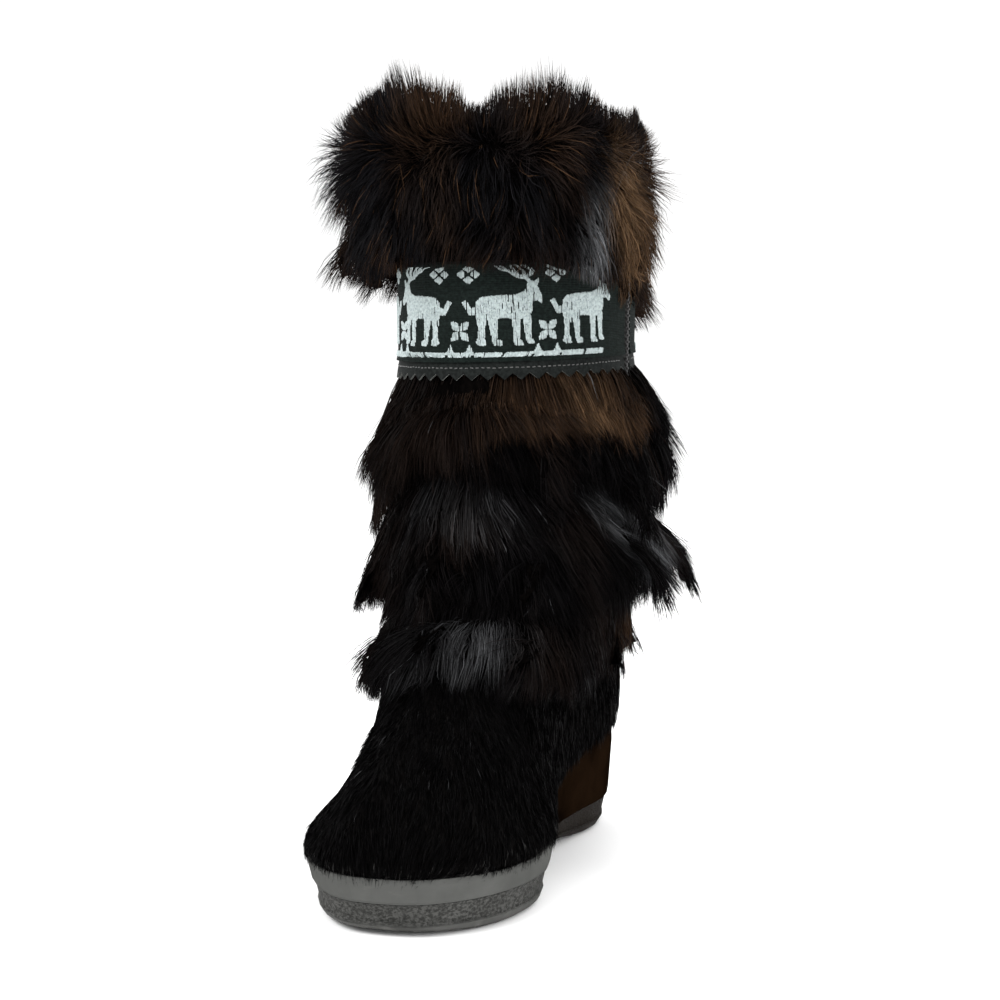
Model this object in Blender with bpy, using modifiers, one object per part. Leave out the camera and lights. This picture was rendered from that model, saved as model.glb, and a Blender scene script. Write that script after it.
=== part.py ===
"""A tall fur boot for the right foot on a moulded wedge sole.

The toe points along -Y, the inner side of the leg faces +X and the floor is Z = 0.
The origin lies on the floor under the middle of the heel.
"""

import math

import bmesh
import bpy
import numpy as np
from mathutils import Vector

MM = 0.001
CLEARANCE = 0.3 * MM

# Sole and foot
SOLE_LENGTH = 266 * MM
HEEL_REACH = 42 * MM
BALL_WIDTH = 102 * MM
TOE_PLATFORM = 25 * MM
HEEL_HEIGHT = 48 * MM
TREAD_HEIGHT = 14.5 * MM
TOE_SPRING = 4 * MM
ARCH_RISE = 4.5 * MM
SOLE_STATIONS = 56
GROOVE_WIDTH = 3 * MM
GROOVE_DEPTH = 3 * MM
GROOVE_PITCH = 12 * MM
GROOVE_MARGIN = 11 * MM
HEEL_GROOVES = 4
FOREFOOT_GROOVES = 8
FOREFOOT_REST = 150 * MM
INSOLE_THICKNESS = 4 * MM
INSOLE_EASE = 3.1 * MM

# Upper
INSTEP_HEIGHT = 165 * MM
BOOT_HEIGHT = 332 * MM
WALL = 3 * MM
UPPER_STATIONS = 32
FINE_LEVELS = (0.3, 1.1)

# Band, pinked strip and zip on the shaft
STRIP_THICKNESS = 1.0 * MM
BAND_THICKNESS = 1.0 * MM
BAND_BOTTOM = 227 * MM
BAND_TOP = 270 * MM
STRIP_BOTTOM = 219 * MM
STRIP_LAP = 13 * MM
STRIP_MARGIN = 1 * MM
BAND_SLOPE = 3 * MM
PINKING_TEETH = 46
PINKING_DEPTH = 3 * MM
BAND_STATIONS = 49
PELT_TUCK = 5 * MM
ZIP_SLOT = 8 * MM
ZIP_RUN = -33 * MM
ZIP_SWEEP = 10 * MM
ZIP_TAPE = 1.2 * MM
ZIP_CHAIN_WIDTH = 4 * MM
ZIP_CHAIN_HEIGHT = 1.3 * MM
ZIP_BOTTOM_LEVEL = 0.44
ZIP_TOP_LEVEL = 1.66
ZIP_STATIONS = 26
ZIP_CROWN = 0.8

# Fur
PELT = 1.3 * MM
PELT_SEAT = 0.8 * MM
PELT_BRIDGE = 1.6 * MM
TUCK_DEPTH = 2.8 * MM
TUCK_LENGTH = 21 * MM
BAND_LAP = 12 * MM
LAP_LENGTH = 17 * MM
LAP_GAP = 1.4 * MM
HEM_CLEARANCE = TUCK_DEPTH + LAP_GAP
EASE_LENGTH = 4 * MM
HEM_EDGE = 2 * MM
LOCKS_AROUND = 18
LOCK_DROP = 5 * MM
LOCK_STAGGER = 2.2 * MM
STEP_DROP = 1 * MM
COLLAR_MARGIN = 5 * MM

# Profile of a hanging tier as shares of its drop below the tucked top and of its depth.
# Relief is how far every other lock stands out or in, as a share of the depth.
PELT_PROFILE = {
    "drop": (0.75, 0.42, 0.20, 0.0),
    "depth": (0.64, 0.95, 0.95, 0.86),
    "relief": (-0.055, -0.11, 0.11, 0.066),
}
STEP_DEPTH = 0.15
BRIDGE_SPAN = 0.38
CREST_RISE = 0.7

# The same for the cuff, from its crest down to its hem.
CUFF_PROFILE = {
    "drop": (1.0, 0.90, 0.72, 0.45, 0.18, 0.0),
    "depth": (0.30, 0.78, 0.98, 1.0, 0.86, 0.56),
    "relief": (0.0, -0.055, -0.11, 0.066, 0.11, 0.066),
}

# A loose lock from root to tip: share of its length and girth as a share of its width.
LOCK_TAPER = {
    "along": (0.0, 0.3, 0.65, 1.0),
    "girth": (0.8, 1.0, 0.7, 0.06),
}
LOCK_SIDES = 4
ROOT_DEPTH = 0.62
ROOT_RISE = 0.35

TOE_REACH = SOLE_LENGTH - HEEL_REACH
TURN = 2 * math.pi
INNER_SIDE = math.pi / 2

# Sole outline: station from heel to toe as a share of the length,
# and the inner and outer fullness as shares of the ball width.
SOLE_OUTLINE = {
    "station": (0.0, 0.17, 0.30, 0.45, 0.60, 0.70, 0.80, 0.90, 1.0),
    "inner": (0.49, 0.465, 0.372, 0.338, 0.440, 0.550, 0.600, 0.605, 0.560),
    "outer": (0.46, 0.450, 0.398, 0.410, 0.497, 0.550, 0.570, 0.550, 0.500),
}
OUTLINE_POWER = 0.75

# Feather line, where upper meets sole: its rise as a share of the
# heel's lift above the toe platform.
FEATHER_LINE = {
    "station": (0.0, 0.15, 0.35, 0.50, 0.65, 0.80, 1.0),
    "rise": (1.0, 0.97, 0.74, 0.42, 0.12, 0.0, 0.02),
}

# Side of the tread: height as a share of the tread, inset in from the feather outline.
TREAD_SIDE = {
    "height": (0.0, 0.10, 0.26, 0.33, 0.36, 0.90, 1.0),
    "inset": (9.5 * MM, 6.9 * MM, 5.5 * MM, 5.2 * MM, 5.9 * MM, 4.1 * MM, 3.2 * MM),
}

# Side of the wedge above it: height as a share of what is left up to the feather line.
WEDGE_SIDE = {
    "height": (0.0, 0.10, 0.80, 1.0),
    "inset": (2.9 * MM, 2.3 * MM, 0.6 * MM, 1.0 * MM),
}

# Level sections of the upper. Level 0 is the feather line, 1 the top of the instep
# and 2 the collar. Front is a share of the toe's reach, back of the heel's,
# half of the ball width. Last is 1 for the foot's outline and 0 for the leg's oval,
# point is how pointed the toe's end of the outline is, and slope how far the vamp's
# outer side falls in towards the instep.
UPPER_SECTIONS = {
    "level": (
        0.0, 0.025, 0.057, 0.136, 0.214, 0.286, 0.336, 0.379, 0.429, 0.50, 0.593, 0.707, 0.836, 1.0,
        1.25, 1.45, 1.65, 1.85, 2.0, 2.2,
    ),
    "front": (
        0.992, 1.000, 1.004, 0.997, 0.966, 0.920, 0.872, 0.815, 0.745, 0.660, 0.571, 0.504, 0.469, 0.446,
        0.438, 0.433, 0.433, 0.437, 0.440, 0.444,
    ),
    "back": (
        0.965, 0.995, 1.03, 1.06, 1.06, 1.03, 1.00, 0.965, 0.93, 0.885, 0.85, 0.82, 0.80, 0.785,
        0.80, 0.82, 0.845, 0.87, 0.89, 0.91,
    ),
    "half": (
        0.490, 0.503, 0.512, 0.520, 0.512, 0.496, 0.480, 0.468, 0.458, 0.455, 0.456, 0.460, 0.472, 0.482,
        0.490, 0.495, 0.500, 0.506, 0.510, 0.515,
    ),
    "last": (
        1.0, 1.0, 1.0, 1.0, 1.0, 0.95, 0.88, 0.76, 0.60, 0.42, 0.22, 0.08, 0.0, 0.0,
        0.0, 0.0, 0.0, 0.0, 0.0, 0.0,
    ),
    "point": (
        0.75, 0.75, 0.75, 0.78, 0.86, 0.98, 1.15, 1.28, 1.38, 1.40, 1.32, 1.20, 1.08, 1.0,
        1.0, 1.0, 1.0, 1.0, 1.0, 1.0,
    ),
    "slope": (
        0.0, 0.02, 0.10, 0.30, 0.41, 0.46, 0.46, 0.42, 0.36, 0.28, 0.15, 0.05, 0.0, 0.0,
        0.0, 0.0, 0.0, 0.0, 0.0, 0.0,
    ),
}
INNER_SLOPE = 0.6

# Stations between which the toe's point, the vamp's slope, the toe spring and the
# arch come in.
TOE_ZONE = (0.3, 0.8)
VAMP_ZONE = (0.45, 0.70)
SPRING_ZONE = (0.82, 1.0)
ARCH_ZONE = (0.22, 0.58)

# Each pelt tier hangs round the leg. Turn is counted from the back seam by way of the
# inner side, so the front is 180 and the outer side 270. Hem is a level, depth is
# how far the fur stands off the upper.
TIER_TURNS = (0, 45, 90, 135, 180, 225, 270, 315)
UPPER_TIER = {
    "hem": (1.04, 1.02, 1.03, 1.13, 1.20, 1.10, 0.96, 1.0),
    "depth": (17 * MM, 20 * MM, 20 * MM, 15 * MM, 13 * MM, 13 * MM, 13 * MM, 15 * MM),
}
MIDDLE_TIER = {
    "top": (1.11, 1.09, 1.10, 1.20, 1.27, 1.17, 1.03, 1.07),
    "hem": (0.70, 0.72, 0.74, 0.74, 0.72, 0.70, 0.70, 0.70),
    "depth": (17 * MM, 20 * MM, 20 * MM, 14 * MM, 12 * MM, 13 * MM, 14 * MM, 14 * MM),
}
LOWER_TIER = {
    "top": (0.78, 0.80, 0.82, 0.82, 0.80, 0.78, 0.78, 0.78),
    "hem": (0.36, 0.37, 0.39, 0.45, 0.52, 0.46, 0.41, 0.37),
    "depth": (10 * MM, 11 * MM, 11 * MM, 11 * MM, 12 * MM, 8 * MM, 9 * MM, 11 * MM),
}
CUFF = {
    "top": (2.02, 2.0, 2.0, 2.06, 2.03, 2.08, 2.05, 2.03),
    "hem": (1.46, 1.46, 1.53, 1.62, 1.64, 1.61, 1.56, 1.48),
    "depth": (14 * MM, 10 * MM, 9 * MM, 14 * MM, 19 * MM, 26 * MM, 28 * MM, 20 * MM),
}

# Single locks that stand out from a tier: turn in degrees, level of the root, length,
# width, and how far the tip lifts off the leg as a share of the length.
LOOSE_LOCKS = {
    "fur_tier_upper": (
        (20, 1.10, 34 * MM, 13 * MM, 0.25),
        (112, 1.10, 38 * MM, 14 * MM, 0.35),
        (150, 1.24, 30 * MM, 12 * MM, 0.20),
        (215, 1.20, 30 * MM, 12 * MM, 0.20),
        (262, 1.05, 32 * MM, 13 * MM, 0.20),
        (320, 1.08, 32 * MM, 13 * MM, 0.25),
    ),
    "fur_tier_middle": (
        (15, 0.84, 36 * MM, 14 * MM, 0.25),
        (60, 0.88, 30 * MM, 14 * MM, 0.50),
        (108, 0.90, 30 * MM, 15 * MM, 0.60),
        (150, 0.86, 34 * MM, 13 * MM, 0.25),
        (190, 0.86, 32 * MM, 13 * MM, 0.20),
        (232, 0.84, 32 * MM, 12 * MM, 0.20),
        (275, 0.86, 30 * MM, 12 * MM, 0.30),
        (325, 0.84, 34 * MM, 13 * MM, 0.25),
    ),
    "fur_tier_lower": (
        (25, 0.50, 28 * MM, 12 * MM, 0.20),
        (70, 0.52, 28 * MM, 12 * MM, 0.20),
        (140, 0.57, 24 * MM, 13 * MM, 0.20),
        (185, 0.61, 26 * MM, 13 * MM, 0.20),
        (222, 0.57, 26 * MM, 14 * MM, 0.12),
        (258, 0.54, 28 * MM, 14 * MM, 0.12),
        (300, 0.50, 30 * MM, 13 * MM, 0.20),
        (340, 0.50, 28 * MM, 12 * MM, 0.20),
    ),
    "fur_cuff": (
        (10, 1.64, 30 * MM, 14 * MM, 0.05),
        (50, 1.64, 30 * MM, 14 * MM, 0.05),
        (130, 1.78, 28 * MM, 14 * MM, 0.05),
        (165, 1.80, 28 * MM, 14 * MM, 0.05),
        (205, 1.80, 30 * MM, 15 * MM, 0.05),
        (245, 1.76, 30 * MM, 16 * MM, 0.05),
        (280, 1.72, 30 * MM, 16 * MM, 0.05),
        (325, 1.66, 30 * MM, 15 * MM, 0.05),
    ),
}

# Flat colours of the materials, one for each part: base colour, roughness.
FINISHES = {
    "outsole": ((0.062, 0.060, 0.054), 0.8),
    "wedge_midsole": ((0.058, 0.054, 0.048), 0.65),
    "insole": ((0.050, 0.045, 0.042), 0.9),
    "upper": ((0.012, 0.010, 0.009), 0.7),
    "pinked_strip": ((0.014, 0.016, 0.016), 0.55),
    "reindeer_band": ((0.010, 0.016, 0.015), 0.85),
    "side_zip": ((0.020, 0.018, 0.018), 0.45),
    "fur_tier_upper": ((0.018, 0.013, 0.010), 0.6),
    "fur_tier_middle": ((0.014, 0.012, 0.011), 0.6),
    "fur_tier_lower": ((0.014, 0.012, 0.011), 0.6),
    "fur_cuff": ((0.022, 0.015, 0.011), 0.6),
}


def curve_through(xs, ys, x):
    """Smooth curve through a short table, without overshoot past its ends."""
    xs = np.asarray(xs, float)
    ys = np.asarray(ys, float)
    slopes = np.gradient(ys, xs)
    x = np.clip(x, xs[0], xs[-1])
    i = np.clip(np.searchsorted(xs, x, side="right") - 1, 0, len(xs) - 2)
    width = xs[i + 1] - xs[i]
    t = (x - xs[i]) / width
    start = (1 + 2 * t) * (1 - t) ** 2 * ys[i] + t * (1 - t) ** 2 * width * slopes[i]
    end = t * t * (3 - 2 * t) * ys[i + 1] + t * t * (t - 1) * width * slopes[i + 1]
    return start + end


def round_the_leg(values, turn):
    """Smooth value at a turn in radians from eight values spaced evenly round the leg."""
    turns = np.radians(TIER_TURNS)
    wide = np.concatenate([turns - TURN, turns, turns + TURN])
    return float(curve_through(wide, tuple(values) * 3, turn % TURN))


def ramp(value, start, end):
    """0 before the start, 1 past the end and straight between them."""
    return min(max((value - start) / (end - start), 0.0), 1.0)


def station_of(turn):
    """Share of the way from heel to toe at a turn round an outline."""
    return (1 - math.cos(turn)) / 2


def feather_height(y):
    """Height of the line where upper and sole meet."""
    station = (HEEL_REACH - y) / SOLE_LENGTH
    rise = curve_through(FEATHER_LINE["station"], FEATHER_LINE["rise"], station)
    return float(TOE_PLATFORM + (HEEL_HEIGHT - TOE_PLATFORM) * rise)


def foot_fullness(turn, toe_power=OUTLINE_POWER):
    """Half breadth of the foot's outline at a turn, as a share of the ball width.

    A toe power above the outline's own makes the toe's end more pointed.
    """
    side = "inner" if math.sin(turn) >= 0 else "outer"
    station = station_of(turn)
    full = curve_through(SOLE_OUTLINE["station"], SOLE_OUTLINE[side], station)
    power = OUTLINE_POWER + (toe_power - OUTLINE_POWER) * ramp(station, *TOE_ZONE)
    return float(full) * abs(math.sin(turn)) ** power


def side_sign(turn):
    """1 on the inner side and -1 on the outer."""
    return 1 if math.sin(turn) >= 0 else -1


def sole_outline(inset):
    """Feather outline drawn in by an inset, as (x, y) from the heel round the inner side."""
    turns = [TURN * i / SOLE_STATIONS for i in range(SOLE_STATIONS)]
    line = np.array(
        [
            (
                side_sign(t) * BALL_WIDTH * foot_fullness(t),
                HEEL_REACH - SOLE_LENGTH * station_of(t),
            )
            for t in turns
        ]
    )
    along = np.roll(line, -1, axis=0) - np.roll(line, 1, axis=0)
    along /= np.linalg.norm(along, axis=1)[:, None]
    inward = np.stack([along[:, 1], -along[:, 0]], axis=1)
    return line + inward * inset


def half_breadth(y, side):
    """Distance from the middle line to the feather outline on one side at a station."""
    station = (HEEL_REACH - y) / SOLE_LENGTH
    turn = math.acos(1 - 2 * ramp(station, 0, 1))
    if side < 0:
        turn = TURN - turn
    return BALL_WIDTH * foot_fullness(turn)


def upper_point(turn, level):
    """Point on the outside of the upper at a turn round it and a level up it."""
    levels = UPPER_SECTIONS["level"]
    front = TOE_REACH * float(curve_through(levels, UPPER_SECTIONS["front"], level))
    back = HEEL_REACH * float(curve_through(levels, UPPER_SECTIONS["back"], level))
    half = BALL_WIDTH * float(curve_through(levels, UPPER_SECTIONS["half"], level))
    last = float(curve_through(levels, UPPER_SECTIONS["last"], level))
    point = float(curve_through(levels, UPPER_SECTIONS["point"], level))
    y = back - (back + front) * station_of(turn)
    foot = 2 * half * foot_fullness(turn, point)
    slope = float(curve_through(levels, UPPER_SECTIONS["slope"], level))
    if math.sin(turn) >= 0:
        slope *= INNER_SLOPE
    foot *= 1 - slope * ramp(station_of(turn), *VAMP_ZONE)
    leg = half * abs(math.sin(turn))
    x = side_sign(turn) * (last * foot + (1 - last) * leg)
    seat = feather_height(y) + CLEARANCE
    if level <= 1:
        z = seat + level * (INSTEP_HEIGHT - seat)
    else:
        z = INSTEP_HEIGHT + (level - 1) * (BOOT_HEIGHT - INSTEP_HEIGHT)
    return Vector((x, y, z))


def upper_normal(turn, level):
    """Outward direction of the upper's surface there."""
    small = 1e-3
    low = max(level - small, 0.0)
    up = upper_point(turn, level + small) - upper_point(turn, low)
    round_it = upper_point(turn + small, level) - upper_point(turn - small, level)
    return up.cross(round_it).normalized()


def off_upper(turn, level, distance):
    """Point at a distance off the upper."""
    return upper_point(turn, level) + upper_normal(turn, level) * distance


def level_at(height):
    """Level of a height on the leg."""
    return 1 + (height - INSTEP_HEIGHT) / (BOOT_HEIGHT - INSTEP_HEIGHT)


def zip_turn(level):
    """Turn of the zip's middle line, and turn per metre across it.

    It runs straight down the leg and is swept forward over the foot.
    """
    levels = UPPER_SECTIONS["level"]
    front = TOE_REACH * float(curve_through(levels, UPPER_SECTIONS["front"], level))
    back = HEEL_REACH * float(curve_through(levels, UPPER_SECTIONS["back"], level))
    sweep = ZIP_SWEEP * max(0.0, 1 - level) / (1 - ZIP_BOTTOM_LEVEL)
    station = (back - ZIP_RUN + sweep) / (back + front)
    turn = math.acos(1 - 2 * station)
    return turn, 2 / ((back + front) * math.sin(turn))


def turn_round(share, level):
    """Turn at a share of the way round from one edge of the zip's slot to the other."""
    middle, per_metre = zip_turn(level)
    half = ZIP_SLOT / 2 * per_metre
    return middle + half + share * (TURN - 2 * half)


def finish_of(name):
    """The part's own material."""
    colour, roughness = FINISHES[name]
    material = bpy.data.materials.get(name) or bpy.data.materials.new(name)
    material.use_nodes = True
    shader = material.node_tree.nodes["Principled BSDF"]
    shader.inputs["Base Color"].default_value = (*colour, 1.0)
    shader.inputs["Roughness"].default_value = roughness
    shader.inputs["Metallic"].default_value = 0.0
    return material


def add_object(name, bm, collection):
    """Object from a finished mesh, with its own material unless it only cuts or joins."""
    mesh = bpy.data.meshes.new(name)
    bm.to_mesh(mesh)
    bm.free()
    mesh.shade_smooth()
    mesh.set_sharp_from_angle(angle=math.radians(40))
    if name in FINISHES:
        mesh.materials.append(finish_of(name))
    obj = bpy.data.objects.new(name, mesh)
    collection.objects.link(obj)
    return obj


def loft(sections, caps=None):
    """Skin between sections with the same number of points.

    Caps are "ends" for a flat face at both ends, "across" for strips between the two
    sides of an outline that runs from heel to toe and back, "rungs" for strips between
    the outer and inner lines of a pelt or ribbon, and None for open ends.
    """
    bm = bmesh.new()
    rows = [[bm.verts.new(point) for point in section] for section in sections]
    count = len(rows[0])
    for low, high in zip(rows, rows[1:]):
        for i in range(count):
            j = (i + 1) % count
            bm.faces.new((low[i], low[j], high[j], high[i]))
    for row in (rows[0], rows[-1]):
        if caps == "ends":
            bm.faces.new(row)
        if caps == "across":
            cap_across(bm, row)
        if caps == "rungs":
            cap_rungs(bm, row)
    bmesh.ops.recalc_face_normals(bm, faces=bm.faces)
    return bm


def cap_across(bm, row):
    """Strips from one side of an outline to the other, so that the cap follows its heights."""
    count = len(row)
    half = count // 2
    bm.faces.new((row[0], row[1], row[count - 1]))
    for i in range(1, half - 1):
        bm.faces.new((row[i], row[i + 1], row[count - i - 1], row[count - i]))
    bm.faces.new((row[half - 1], row[half], row[half + 1]))


def cap_rungs(bm, row):
    """Strips between the first half of a section and the second half run backwards."""
    last = len(row) - 1
    for i in range(len(row) // 2 - 1):
        bm.faces.new((row[i], row[i + 1], row[last - i - 1], row[last - i]))


def ground_height(y):
    """Underside of the tread: toe spring ahead of the ball and a slight arch behind it."""
    station = (HEEL_REACH - y) / SOLE_LENGTH
    spring = TOE_SPRING * ramp(station, *SPRING_ZONE) ** 2
    arch = ARCH_RISE * math.sin(math.pi * ramp(station, *ARCH_ZONE)) ** 2
    return spring + arch


def boolean(target, tool, operation):
    """Cuts a tool from an object or joins it on."""
    modifier = target.modifiers.new(tool.name, "BOOLEAN")
    modifier.solver = "EXACT"
    modifier.operation = operation
    modifier.object = tool


def make_outsole(parts, helpers):
    """Tread with a plain rim, a sunk band for the grain above it, and cross grooves below."""
    sections = []
    for share, inset in zip(TREAD_SIDE["height"], TREAD_SIDE["inset"]):
        ring = []
        for x, y in sole_outline(inset):
            low = ground_height(y)
            ring.append((x, y, low + share * (TREAD_HEIGHT - low)))
        sections.append(ring)
    outsole = add_object("outsole", loft(sections, caps="across"), parts)

    bm = bmesh.new()
    rows = ((-FOREFOOT_REST, FOREFOOT_GROOVES), (0.0, HEEL_GROOVES))
    for y in [rest + GROOVE_PITCH * (i + 0.5 - n / 2) for rest, n in rows for i in range(n)]:
        inner = half_breadth(y, 1) - GROOVE_MARGIN
        outer = half_breadth(y, -1) - GROOVE_MARGIN
        made = bmesh.ops.create_cube(bm, size=1.0)["verts"]
        size = (inner + outer, GROOVE_WIDTH, 2 * GROOVE_DEPTH)
        bmesh.ops.scale(bm, vec=size, verts=made)
        middle = ((inner - outer) / 2, y, ground_height(y))
        bmesh.ops.translate(bm, vec=middle, verts=made)
    grooves = add_object("tread_grooves", bm, helpers)
    boolean(outsole, grooves, "DIFFERENCE")


def make_midsole(parts):
    """Moulded wedge from the tread up to the feather line."""
    sections = []
    floor = TREAD_HEIGHT + CLEARANCE
    for share, inset in zip(WEDGE_SIDE["height"], WEDGE_SIDE["inset"]):
        ring = []
        for x, y in sole_outline(inset):
            ring.append((x, y, floor + share * (feather_height(y) - floor)))
        sections.append(ring)
    add_object("wedge_midsole", loft(sections, caps="across"), parts)


def make_insole(parts):
    """Felt footbed on the wedge, inside the wall of the upper."""
    sections = []
    for lift in (CLEARANCE, CLEARANCE + INSOLE_THICKNESS):
        outline = sole_outline(WALL + INSOLE_EASE)
        sections.append([(x, y, feather_height(y) + lift) for x, y in outline])
    add_object("insole", loft(sections, caps="across"), parts)


def make_upper(parts):
    """Hollow fur upper from the feather line to the collar, open above and below.

    The hollow curve over the instep gets a row between each two of the table's.
    """
    levels = []
    for low, high in zip(UPPER_SECTIONS["level"], UPPER_SECTIONS["level"][1:]):
        if high <= 2:
            levels.append(low)
            if FINE_LEVELS[0] < low < FINE_LEVELS[1]:
                levels.append((low + high) / 2)
    levels.append(2.0)
    turns = [TURN * i / UPPER_STATIONS for i in range(UPPER_STATIONS)]
    sections = [[upper_point(turn, level) for turn in turns] for level in levels]
    upper = add_object("upper", loft(sections), parts)
    wall = upper.modifiers.new("wall", "SOLIDIFY")
    wall.thickness = WALL
    wall.offset = -1
    wall.use_even_offset = True


def wrap(name, section_at, count, parts):
    """Solid wrapped round the leg from one edge of the zip's slot to the other.

    section_at gives, for the number of a station and its turn, a closed section
    as (level, distance off the upper).
    """
    sections = []
    for i in range(count):
        share = i / (count - 1)
        nominal = INNER_SIDE + TURN * share
        section = section_at(i, nominal)
        sections.append([off_upper(turn_round(share, lv), lv, d) for lv, d in section])
    return add_object(name, loft(sections, caps="rungs"), parts)


def sloped_level(height, turn):
    """Level of a height on the band, which sits lower on the outer side."""
    return level_at(height + BAND_SLOPE * (math.sin(turn) - 1) / 2)


def strip_flare(height):
    """How far the strip's inner face stands off at a height above its edge, over the pelt's top."""
    return CLEARANCE + PELT * (STRIP_LAP - height) / (STRIP_LAP - PELT_TUCK)


def make_pinked_strip(parts):
    """Leather backing strip with a pinked lower edge that laps over the fur below."""

    def section(i, turn):
        tooth = PINKING_DEPTH if i % 2 else 0.0
        flare = strip_flare(tooth)
        bottom = sloped_level(STRIP_BOTTOM + tooth, turn)
        bend = sloped_level(STRIP_BOTTOM + STRIP_LAP, turn)
        top = sloped_level(BAND_TOP + STRIP_MARGIN, turn)
        near = CLEARANCE
        return [
            (bottom, flare),
            (bend, near),
            (top, near),
            (top, near + STRIP_THICKNESS),
            (bend, near + STRIP_THICKNESS),
            (bottom, flare + STRIP_THICKNESS),
        ]

    wrap("pinked_strip", section, 2 * PINKING_TEETH + 1, parts)


def make_band(parts):
    """Embroidered band stitched on the strip."""
    near = 2 * CLEARANCE + STRIP_THICKNESS
    flare = near + strip_flare(BAND_BOTTOM - STRIP_BOTTOM) - CLEARANCE

    def section(i, turn):
        bottom = sloped_level(BAND_BOTTOM, turn)
        bend = sloped_level(STRIP_BOTTOM + STRIP_LAP, turn)
        top = sloped_level(BAND_TOP, turn)
        return [
            (bottom, flare),
            (bend, near),
            (top, near),
            (top, near + BAND_THICKNESS),
            (bend, near + BAND_THICKNESS),
            (bottom, flare + BAND_THICKNESS),
        ]

    wrap("reindeer_band", section, BAND_STATIONS, parts)


def make_zip(parts):
    """Closed zip in its slot down the inner side: tape with the chain proud of it."""
    edge = ZIP_SLOT / 2 - CLEARANCE
    chain = ZIP_CHAIN_WIDTH / 2
    low = CLEARANCE
    tape = CLEARANCE + ZIP_TAPE
    crown = tape + ZIP_CHAIN_HEIGHT
    outline = (
        (-edge, low),
        (edge, low),
        (edge, tape),
        (chain, tape),
        (chain * ZIP_CROWN, crown),
        (-chain * ZIP_CROWN, crown),
        (-chain, tape),
        (-edge, tape),
    )
    sections = []
    for level in np.linspace(ZIP_BOTTOM_LEVEL, ZIP_TOP_LEVEL, ZIP_STATIONS):
        middle, per_metre = zip_turn(level)
        sections.append(
            [off_upper(middle + across * per_metre, level, off) for across, off in outline]
        )
    add_object("side_zip", loft(sections, caps="ends"), parts)


def lock_length(i):
    """Length of a lock at the hem, from 0.35 to 1, uneven round the leg."""
    return 0.35 + 0.65 * (0.5 + 0.5 * math.sin(i * 2.4 + 1.3 * math.sin(i * 0.9)))


def metres_per_level(turn, level):
    """Length up the upper's surface that one level stands for there."""
    small = 0.01
    return (upper_point(turn, level + small) - upper_point(turn, level)).length / small


def tier_top(tier, turn):
    """Level of a tier's top: its table's, or just under the pinked strip."""
    if "top" in tier:
        return round_the_leg(tier["top"], turn)
    return sloped_level(STRIP_BOTTOM + PELT_TUCK, turn)


def stagger(i):
    """1 on every other station, where a lock hangs, and -1 between locks."""
    return 1 if i % 2 == 0 else -1


def hem_drop(i):
    """How far the hem hangs below its line at a station, less than nothing between locks."""
    return LOCK_DROP * (lock_length(i) if stagger(i) > 0 else -0.5)


def fur_rows(profile, depth, i):
    """Distances off the upper of a profile's rows at a station."""
    rows = zip(profile["depth"], profile["relief"])
    return [depth * (share + stagger(i) * relief) for share, relief in rows]


def tier_section(tier, tucked, laps):
    """Section of a hanging tier: a thin top, two staggered rows of locks and a hem.

    A tucked tier's top runs up under the one above, and one that laps clears the next below.
    """

    def section(i, turn):
        depth = round_the_leg(tier["depth"], turn)
        hem = round_the_leg(tier["hem"], turn)
        top = tier_top(tier, turn)
        scale = 1 / metres_per_level(turn, hem)
        tuck = TUCK_LENGTH if tucked else BAND_LAP
        thin_end = top - tuck / metres_per_level(turn, top)
        thin = TUCK_DEPTH if tucked else PELT
        clear = HEM_CLEARANCE if laps else PELT_BRIDGE
        shoulder, step, swell, tip = (hem + (thin_end - hem) * d for d in PELT_PROFILE["drop"])
        step += stagger(i) * LOCK_STAGGER * scale
        tip -= hem_drop(i) * scale
        off = fur_rows(PELT_PROFILE, depth, i)
        lap = hem + LAP_LENGTH * scale
        inner = lap + EASE_LENGTH * scale
        return [
            (top, thin),
            (thin_end, thin),
            (shoulder, off[0]),
            (step, off[1]),
            (step - STEP_DROP * scale, off[1] - STEP_DEPTH * depth),
            (swell, off[2]),
            (tip, off[3]),
            (tip + HEM_EDGE * scale, clear),
            (lap, clear),
            (inner, PELT_BRIDGE),
            (inner + BRIDGE_SPAN * (top - inner), PELT_BRIDGE),
            (top, PELT_SEAT),
        ]

    return section


def cuff_section(i, turn):
    """Section of the turned-down cuff: a full roll from the collar over the band's top."""
    depth = round_the_leg(CUFF["depth"], turn)
    top = round_the_leg(CUFF["top"], turn)
    hem = round_the_leg(CUFF["hem"], turn)
    scale = 1 / metres_per_level(turn, hem)
    levels = [hem + (top - hem) * d for d in CUFF_PROFILE["drop"]]
    if stagger(i) < 0:
        levels[0] += CREST_RISE * LOCK_DROP * lock_length(i) * scale
    step = levels[3] - stagger(i) * LOCK_STAGGER * scale
    tip = levels[5] - hem_drop(i) * scale
    off = fur_rows(CUFF_PROFILE, depth, i)
    over_band = level_at(BAND_TOP + EASE_LENGTH)
    return [
        (levels[0], off[0]),
        (levels[1], off[1]),
        (levels[2], off[2]),
        (step, off[3]),
        (step - STEP_DROP * scale, off[3] - STEP_DEPTH * depth),
        (levels[4], off[4]),
        (tip, off[5]),
        (tip + HEM_EDGE * scale, HEM_CLEARANCE),
        (over_band, HEM_CLEARANCE),
        (over_band + EASE_LENGTH * scale, PELT_SEAT),
        ((over_band + top) / 2, PELT_SEAT),
        (top - COLLAR_MARGIN * scale, PELT_SEAT),
    ]


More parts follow.
